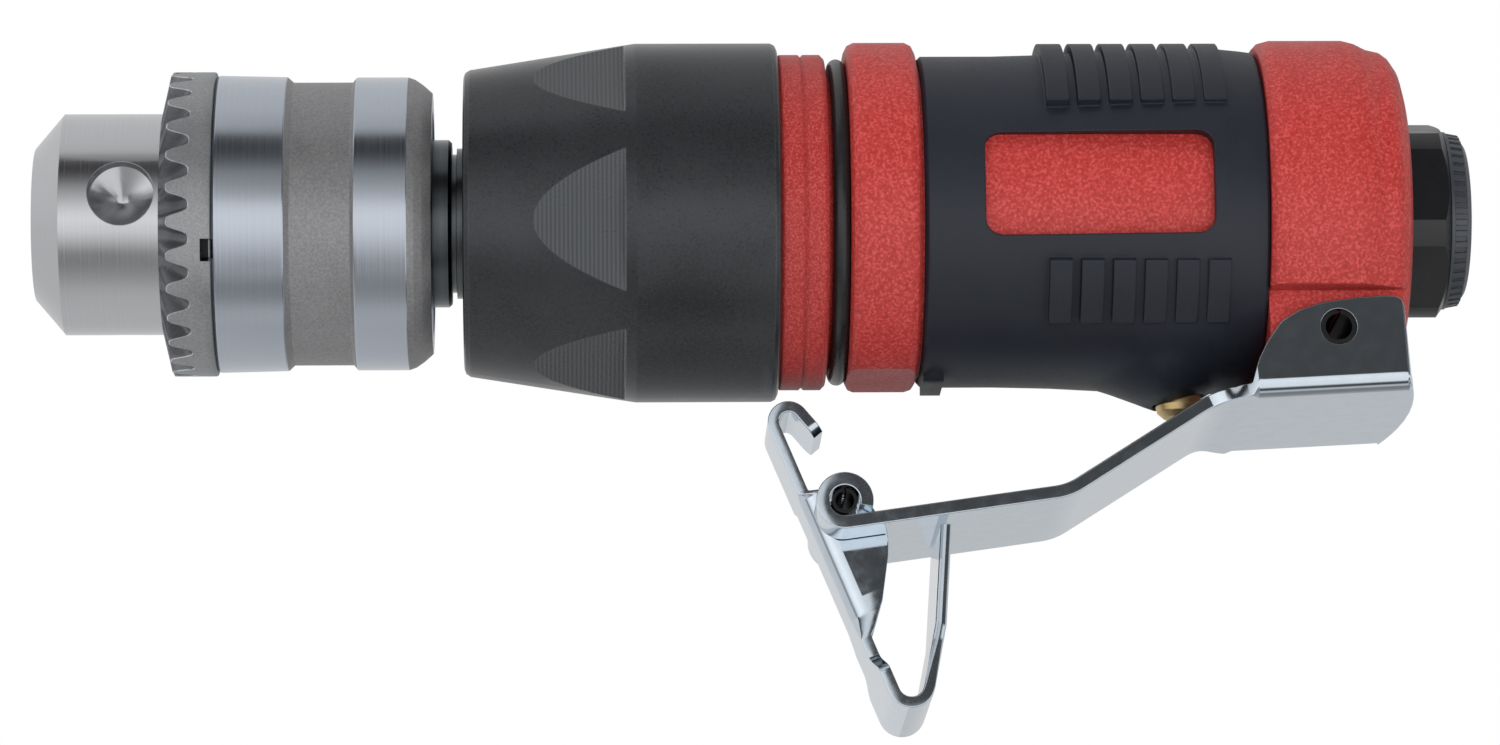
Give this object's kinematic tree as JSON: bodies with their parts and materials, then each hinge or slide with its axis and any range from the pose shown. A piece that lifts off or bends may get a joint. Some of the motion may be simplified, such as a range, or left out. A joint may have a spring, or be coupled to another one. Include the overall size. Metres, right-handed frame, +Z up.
{
  "type": "air drill",
  "caption": "Straight pneumatic drill with a keyed jaw chuck, planetary gear, vane motor, ribbed rubber grip and a squeeze throttle lever held by a folding safety latch.",
  "frame": {"origin": "centre of the chuck's nose face, on the tool axis", "axes": "+X along the tool axis from the chuck to the air inlet, +Z up and away from the lever, -Y towards the picture's viewer"},
  "size_m": [0.1423, 0.036, 0.0682],
  "materials": {
    "nose_steel": "satin turned",
    "sleeve_steel": "satin turned",
    "key_ring_steel": "matt grey",
    "hard_steel": "ground",
    "dark_steel": "oiled",
    "bearing_steel": "polished",
    "black_coated": "satin black",
    "red_paint": "fine wrinkle",
    "seal_rubber": "matt",
    "grip_rubber": "matt",
    "chrome_sheet": "polished",
    "black_pin": "black oxide",
    "valve_brass": "turned",
    "motor_iron": "ground",
    "vane_resin": "matt"
  },
  "bodies": {
    "housing": {"front_housing": "black_coated", "ring_gear": "hard_steel", "spindle_bearing_outers": "bearing_steel", "bearing_spacer": "hard_steel", "front_adaptor": "red_paint", "housing_seal": "seal_rubber", "front_end_plate": "motor_iron", "motor_cylinder": "motor_iron", "rear_end_plate": "motor_iron", "cylinder_dowel": "hard_steel", "rotor_bearing_outers": "bearing_steel", "motor_housing": "red_paint", "grip_sleeve": "grip_rubber", "lever_pin": "black_pin", "plunger_bush": "valve_brass", "valve_spring": "hard_steel", "inlet_bushing": "black_coated", "inlet_seal": "seal_rubber", "inlet_screen": "hard_steel"},
    "spindle": {"spindle": "dark_steel", "planet_pins": "hard_steel", "spindle_bearing_inners": "bearing_steel", "chuck_body": "nose_steel"},
    "sleeve": {"chuck_key_ring": "key_ring_steel", "chuck_sleeve": "sleeve_steel", "chuck_nut": "hard_steel"},
    "jaw_1": {"chuck_jaw_1": "hard_steel"},
    "jaw_2": {"chuck_jaw_2": "hard_steel"},
    "jaw_3": {"chuck_jaw_3": "hard_steel"},
    "planet_1": {"planet_gear_1": "hard_steel"},
    "planet_2": {"planet_gear_2": "hard_steel"},
    "planet_3": {"planet_gear_3": "hard_steel"},
    "rotor": {"rotor": "hard_steel", "rotor_vanes": "vane_resin", "rotor_bearing_inners": "bearing_steel"},
    "spindle_balls": {"spindle_bearing_balls": "bearing_steel"},
    "rotor_balls": {"rotor_bearing_balls": "bearing_steel"},
    "lever": {"throttle_lever": "chrome_sheet", "latch_pin": "black_pin", "latch_spring": "hard_steel"},
    "latch": {"safety_latch": "chrome_sheet"},
    "plunger": {"throttle_plunger": "valve_brass", "plunger_seal": "seal_rubber", "valve_washer": "seal_rubber"},
    "inlet_ring": {"inlet_ring": "black_coated"}
  },
  "joints": [
    {"name": "spindle_spin", "type": "hinge", "parent": "housing", "child": "spindle", "pos_m": [0.044, 0, 0], "axis": [1, 0, 0], "continuous": true},
    {"name": "rotor_spin", "type": "hinge", "parent": "housing", "child": "rotor", "pos_m": [0.0865, 0, 0], "axis": [1, 0, 0], "continuous": true},
    {"name": "planet_1_spin", "type": "hinge", "parent": "spindle", "child": "planet_1", "pos_m": [0.0655, 0, 0.0075], "axis": [1, 0, 0], "continuous": true},
    {"name": "planet_2_spin", "type": "hinge", "parent": "spindle", "child": "planet_2", "pos_m": [0.0655, 0.00649, -0.00375], "axis": [1, 0, 0], "continuous": true},
    {"name": "planet_3_spin", "type": "hinge", "parent": "spindle", "child": "planet_3", "pos_m": [0.0655, -0.00649, -0.00375], "axis": [1, 0, 0], "continuous": true},
    {"name": "spindle_balls_orbit", "type": "hinge", "parent": "housing", "child": "spindle_balls", "pos_m": [0.051, 0, 0], "axis": [1, 0, 0], "continuous": true},
    {"name": "rotor_balls_orbit", "type": "hinge", "parent": "housing", "child": "rotor_balls", "pos_m": [0.0865, 0, 0], "axis": [1, 0, 0], "continuous": true},
    {"name": "sleeve_turn", "type": "hinge", "parent": "spindle", "child": "sleeve", "pos_m": [0.018, 0, 0], "axis": [1, 0, 0], "range_deg": [0, 2760]},
    {"name": "jaw_1_slide", "type": "slide", "parent": "spindle", "child": "jaw_1", "axis": [-0.9659, 0.1175, -0.2306], "range_m": [0, 0.0116]},
    {"name": "jaw_2_slide", "type": "slide", "parent": "spindle", "child": "jaw_2", "axis": [-0.9659, -0.2585, 0.0135], "range_m": [0, 0.0116]},
    {"name": "jaw_3_slide", "type": "slide", "parent": "spindle", "child": "jaw_3", "axis": [-0.9659, 0.141, 0.2171], "range_m": [0, 0.0116]},
    {"name": "lever_press", "type": "hinge", "parent": "housing", "child": "lever", "pos_m": [0.1279, 0, -0.01405], "axis": [0, 1, 0], "range_deg": [0, 5], "stiffness_Nm_per_rad": 0.8, "springref_deg": -8.59},
    {"name": "latch_fold", "type": "hinge", "parent": "lever", "child": "latch", "pos_m": [0.0796, 0, -0.0305], "axis": [0, 1, 0], "range_deg": [0, 102.5], "deforming": ["latch_spring"]},
    {"name": "plunger_slide", "type": "slide", "parent": "housing", "child": "plunger", "axis": [0, 0, 1], "range_m": [0, 0.00168], "deforming": ["valve_spring"]},
    {"name": "inlet_ring_turn", "type": "hinge", "parent": "housing", "child": "inlet_ring", "pos_m": [0.141, 0, 0], "axis": [1, 0, 0], "range_deg": [0, 90]}
  ],
  "couplings": [
    {"joint": "rotor_spin", "follows": "spindle_spin", "ratio": 5},
    {"joint": "planet_1_spin", "follows": "spindle_spin", "ratio": -2.6667},
    {"joint": "planet_2_spin", "follows": "spindle_spin", "ratio": -2.6667},
    {"joint": "planet_3_spin", "follows": "spindle_spin", "ratio": -2.6667},
    {"joint": "spindle_balls_orbit", "follows": "spindle_spin", "ratio": 0.367},
    {"joint": "rotor_balls_orbit", "follows": "spindle_spin", "ratio": 1.85},
    {"joint": "jaw_1_slide", "follows": "sleeve_turn", "m_per_rad": 0.00023873},
    {"joint": "jaw_2_slide", "follows": "sleeve_turn", "m_per_rad": 0.00023873},
    {"joint": "jaw_3_slide", "follows": "sleeve_turn", "m_per_rad": 0.00023873},
    {"joint": "latch_fold", "follows": "lever_press", "ratio": 20.4},
    {"joint": "plunger_slide", "follows": "lever_press", "m_per_rad": 0.019}
  ]
}
